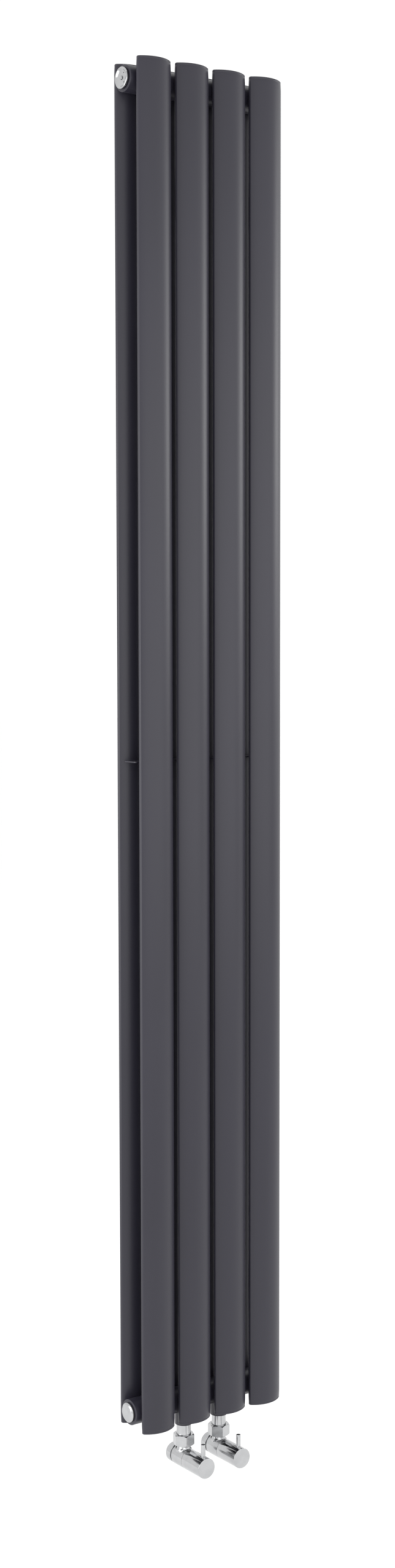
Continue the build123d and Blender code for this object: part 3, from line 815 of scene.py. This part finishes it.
def neck_root(steps=96):
    """Fillet between the round neck and the barrel lying under it."""
    rings = []
    foot_radius = NECK_RADIUS + NECK_FILLET
    for k in range(FILLET_STEPS + 1):
        t = k / FILLET_STEPS
        ring = []
        for i in range(steps):
            a = 2 * math.pi * i / steps
            x = NECK_RADIUS * math.cos(a)
            y = NECK_RADIUS * math.sin(a)
            wide = foot_radius * math.cos(a)
            corner = Vector((x, y, math.sqrt(VALVE_RADIUS ** 2 - x ** 2)))
            start = corner + Vector((0, 0, NECK_FILLET))
            end_height = math.sqrt(VALVE_RADIUS ** 2 - wide ** 2) - 0.03
            end = Vector((wide, foot_radius * math.sin(a), end_height))
            ring.append(tuple(start * (1 - t) ** 2 + corner * 2 * t * (1 - t) + end * t ** 2))
        rings.append(ring)
    inner = [(x * 0.9, y * 0.9, z - 0.6) for x, y, z in rings[-1]]
    upper = [(x * 0.9, y * 0.9, z - 0.6) for x, y, z in rings[0]]
    return skin(rings + [inner, upper], loop=True)


for side, place in valve_place.items():
    along = at(*place, TO_ROOM)
    up = at(*place)
    casting = [(*skin(spun(barrel_line, 96), loop=True), along), (*skin(spun(neck_line, 96), loop=True), up),
               (*neck_root(), up)]
    piece(f"{side}_valve_casting", casting, [f"{side}_valve_body"])
print("barrel radius", round(VALVE_RADIUS, 2), "head from", round(HEAD_BACK, 1), "to", round(HEAD_FRONT, 1))

# %% [markdown]
# The nut on the wall side squeezes a brass ring onto the pipe. On this valve it is round, without flats,
# and its back is a quarter circle that runs in to the pipe, so it is one more turned section: an arc from
# the pipe to the rim, the plain side, and the bore with its thread.

# %% Pipe nut
NUT_RADIUS = VALVE_RADIUS - 0.2
NUT_ROUNDING = 4.0
NUT_THREAD = 10.3
NUT_FLOOR = -22.4
nut_line = [(PIPE_RADIUS, NUT_BACK + 1.6), (PIPE_RADIUS, NUT_BACK), (NUT_RADIUS - NUT_ROUNDING, NUT_BACK)]
for i in range(9):
    a = math.pi / 2 * i / 8
    rim = NUT_RADIUS - NUT_ROUNDING * (1 - math.sin(a))
    nut_line.append((rim, NUT_BACK + NUT_ROUNDING * (1 - math.cos(a))))
nut_line += eased([(NUT_RADIUS, NUT_BACK + 5), (NUT_RADIUS, NUT_FRONT), (NUT_THREAD, NUT_FRONT)], 0.8)[1:]
nut_line += [(NUT_THREAD, NUT_FLOOR), (9.6, NUT_FLOOR)]
for side, place in valve_place.items():
    piece(f"{side}_pipe_nut", [(*skin(spun(nut_line, 96), loop=True), at(*place, TO_ROOM))],
          [f"{side}_compression_nut"])
print("pipe nut", round(NUT_FRONT - NUT_BACK, 1), "mm long")

# %% [markdown]
# The head is hollow behind, where the bonnet sits, and its rim and front edge are only just broken. The
# lever pin goes through it and clamps the stem. Head and pin could be joined into one object, but they
# are two pieces on the bench, so each has its own and both ride on the handle's body, with the stem.

# %% Head and lever pin
STEM_BORE = 3.53
STEM_POCKET = 47.5
HOLLOW_RADIUS = 10.4
HOLLOW_END = 19.0
PIN_ROOT = 2.0
PIN_SEAT = 12.4
head_line = eased([(0, HEAD_FRONT), (VALVE_RADIUS - 0.4, HEAD_FRONT), (VALVE_RADIUS, HEAD_FRONT - 0.4),
                   (VALVE_RADIUS, HEAD_BACK + 0.15), (VALVE_RADIUS - 0.15, HEAD_BACK),
                   (HOLLOW_RADIUS, HEAD_BACK), (HOLLOW_RADIUS, HOLLOW_END), (STEM_BORE, HOLLOW_END),
                   (STEM_BORE, STEM_POCKET), (0, STEM_POCKET)], 0.55, 4)
pin_low, pin_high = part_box("left_lever_pin")
PIN_RADIUS = (pin_high.x - pin_low.x) / 2 / MM
PIN_TOP = (pin_high.z - valve_place["left"].z) / MM
PIN_BOTTOM = (pin_low.z - valve_place["left"].z) / MM
pin_line = eased([(0, PIN_BOTTOM), (PIN_ROOT, PIN_BOTTOM), (PIN_ROOT, PIN_SEAT), (PIN_RADIUS, PIN_SEAT),
                  (PIN_RADIUS, PIN_TOP), (0, PIN_TOP)], 0.5, 4)
for side, place in valve_place.items():
    piece(f"{side}_turning_head", [(*skin(spun(head_line, 96)), at(*place, TO_ROOM))], [f"{side}_head"])
    low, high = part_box(f"{side}_lever_pin")
    pin_place = at((low.x + high.x) / 2, (low.y + high.y) / 2, place.z)
    piece(f"{side}_lever", [(*skin(spun(pin_line, 48)), pin_place)], [f"{side}_lever_pin"])
print("lever pin radius", round(PIN_RADIUS, 2), "top at", round(PIN_TOP, 1))

# %% [markdown]
# ## Union nuts
# The nut that pulls the tail down is a hexagon whose corners are turned off at both ends, which is what
# draws the little arcs at the top of each flat. Cutting a prism with a cone would give them, but they can
# be worked out: at every angle the flat's distance is known, so the height where it meets the turned cone
# is known too, and the nut becomes one more stack of rings.

# %% Union nuts
union_low, union_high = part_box("left_union_nut")
NUT_TURN = {"left": 9.0, "right": 15.0}
FLATS = 26.0
CONE_START = 13.25
CONE_SLOPE = 0.75
SIDE_STEPS = 14
TAIL_WAY = 9.85
NUT_THREAD_BORE = 10.6
FLANGE_LEDGE = 1.5
UNION_BOTTOM = (union_low.z - valve_place["left"].z) / MM
UNION_TOP = (union_high.z - valve_place["left"].z) / MM


def hexagon_rings(bore_low, bore_high, ledge):
    """Rings of a hexagon nut from its lower bore, over the outside, to its upper bore."""
    angles = [math.radians(60 * side + 60 * i / SIDE_STEPS) for side in range(6) for i in range(SIDE_STEPS)]
    flat = [FLATS / 2 / math.cos((a % math.radians(60)) - math.radians(30)) for a in angles]
    cone = [max(0.0, distance - CONE_START) * CONE_SLOPE for distance in flat]
    rim = [min(distance, CONE_START) for distance in flat]

    def ring(radii, heights):
        return [(r * math.cos(a), r * math.sin(a), h) for r, a, h in zip(radii, angles, heights)]

    count = len(angles)
    return [ring([bore_low] * count, [ledge] * count),
            ring([bore_low] * count, [UNION_BOTTOM] * count),
            ring([r - 0.15 for r in rim], [UNION_BOTTOM] * count),
            ring(rim, [UNION_BOTTOM + 0.12] * count),
            ring(flat, [UNION_BOTTOM + 0.12 + c for c in cone]),
            ring(flat, [UNION_TOP - 0.12 - c for c in cone]),
            ring(rim, [UNION_TOP - 0.12] * count),
            ring([r - 0.15 for r in rim], [UNION_TOP] * count),
            ring([bore_high + 0.3] * count, [UNION_TOP] * count),
            ring([bore_high] * count, [UNION_TOP - 0.3] * count),
            ring([bore_high] * count, [ledge] * count)]


for side, place in valve_place.items():
    turn = Matrix.Rotation(math.radians(NUT_TURN[side]), 4, "Z")
    verts, faces = skin(hexagon_rings(NUT_THREAD_BORE, TAIL_WAY, UNION_TOP - FLANGE_LEDGE), loop=True)
    piece(f"{side}_union_hexagon", [(verts, faces, at(*place, turn))], [f"{side}_union_nut"])
print("union nut", FLATS, "mm across flats,", round(UNION_TOP - UNION_BOTTOM, 1), "mm high")

# %% [markdown]
# The tail is the short tube that screws into the boss. Its foot is a flange that the union nut hooks
# over, and the rest is plain, so one section line gives all of it.

# %% Tails
tail_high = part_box("left_tail")[1]
TAIL_RADIUS = 9.75
TAIL_BORE = 6.2
TAIL_THREAD = 10.4
FLANGE_RADIUS = 10.3
FLANGE_LOW = 28.5
FLANGE_HIGH = 30.9
TAIL_TOP = (tail_high.z - valve_place["left"].z) / MM
BOSS_FACE = (boss_low.z - valve_place["left"].z) / MM
tail_line = eased([(TAIL_BORE, FLANGE_LOW), (FLANGE_RADIUS, FLANGE_LOW), (FLANGE_RADIUS, FLANGE_HIGH),
                   (TAIL_RADIUS, FLANGE_HIGH), (TAIL_RADIUS, BOSS_FACE + MOUTH_DEPTH),
                   (TAIL_THREAD, BOSS_FACE + MOUTH_DEPTH), (TAIL_THREAD, TAIL_TOP),
                   (TAIL_BORE, TAIL_TOP)], 0.3)
for side, place in valve_place.items():
    piece(f"{side}_tail_tube", [(*skin(spun(tail_line, 96), loop=True), at(*place))], [f"{side}_tail"])
print("tail", round(TAIL_TOP - FLANGE_LOW, 1), "mm long")

# %% [markdown]
# ## Studio
# A radiator shows best in a white studio: white all round, a pale floor, and big soft lights. The
# surroundings do most of the work, because dark satin paint and chrome show almost nothing but what they
# reflect. The floor lies a hand's breadth under the valves, where the real one would be.

# %% Floor and surroundings
FLOOR_DROP = 0.11
FLOOR_SIZE = 40.0
SURROUND = 1.06


def make_floor():
    mesh = bpy.data.meshes.new("floor")
    half_size = FLOOR_SIZE / 2
    height = cad_low.z - FLOOR_DROP
    corners = ((-1, -1), (1, -1), (1, 1), (-1, 1))
    mesh.from_pydata([(x * half_size, y * half_size, height) for x, y in corners], [], [(0, 1, 2, 3)])
    floor = bpy.data.objects.new("floor", mesh)
    bpy.context.scene.collection.objects.link(floor)
    f = Finish("pale_floor")
    shade = f.mix(f.noise(0.6, 2.0), (0.94, 0.94, 0.94, 1), (0.96, 0.96, 0.96, 1))
    mesh.materials.append(f.surface({"Base Color": shade}, {"Roughness": 0.7}))
    return floor


def make_surroundings():
    world = bpy.data.worlds.new("studio")
    bpy.context.scene.world = world
    world.use_nodes = True
    background = world.node_tree.nodes["Background"]
    background.inputs["Color"].default_value = (1, 1, 1, 1)
    background.inputs["Strength"].default_value = SURROUND


floor = make_floor()
make_surroundings()
print("floor at", round(floor.data.vertices[0].co.z, 3))

# %% [markdown]
# White all round would leave the tubes flat, so three softboxes model them. A broad one in front lifts
# the middle of the panel, one far to the right draws the bright right-hand edges, and one on the left
# reaches in to the rear row. Spots or the sun would do it too, but their small reflections would show as
# lines on satin paint.

# %% Softboxes
def soft_light(name, round_from_front, away, height, size, power):
    """A softbox standing away metres from the panel, facing it, turned to the right of its front."""
    turn = math.radians(round_from_front)
    data = bpy.data.lights.new(name, "AREA")
    data.shape = "RECTANGLE"
    data.size, data.size_y = size
    data.energy = power
    light = bpy.data.objects.new(name, data)
    bpy.context.scene.collection.objects.link(light)
    light.location = (away * math.sin(turn), header_middle["top"].y - away * math.cos(turn), height)
    facing = Vector((0, header_middle["top"].y, height * 0.8)) - light.location
    light.rotation_euler = facing.to_track_quat("-Z", "Y").to_euler()
    light.visible_camera = False
    return light


lights = [soft_light("right_softbox", 75, 3.0, 0.75, (1.1, 1.0), 14),
          soft_light("front_softbox", 0, 1.5, 0.22, (2.8, 1.3), 11.5),
          soft_light("left_softbox", -95, 2.4, 0.0, (1.6, 1.6), 26)]
bpy.context.scene.view_settings.view_transform = "Standard"
print("softboxes", [light.name for light in lights])
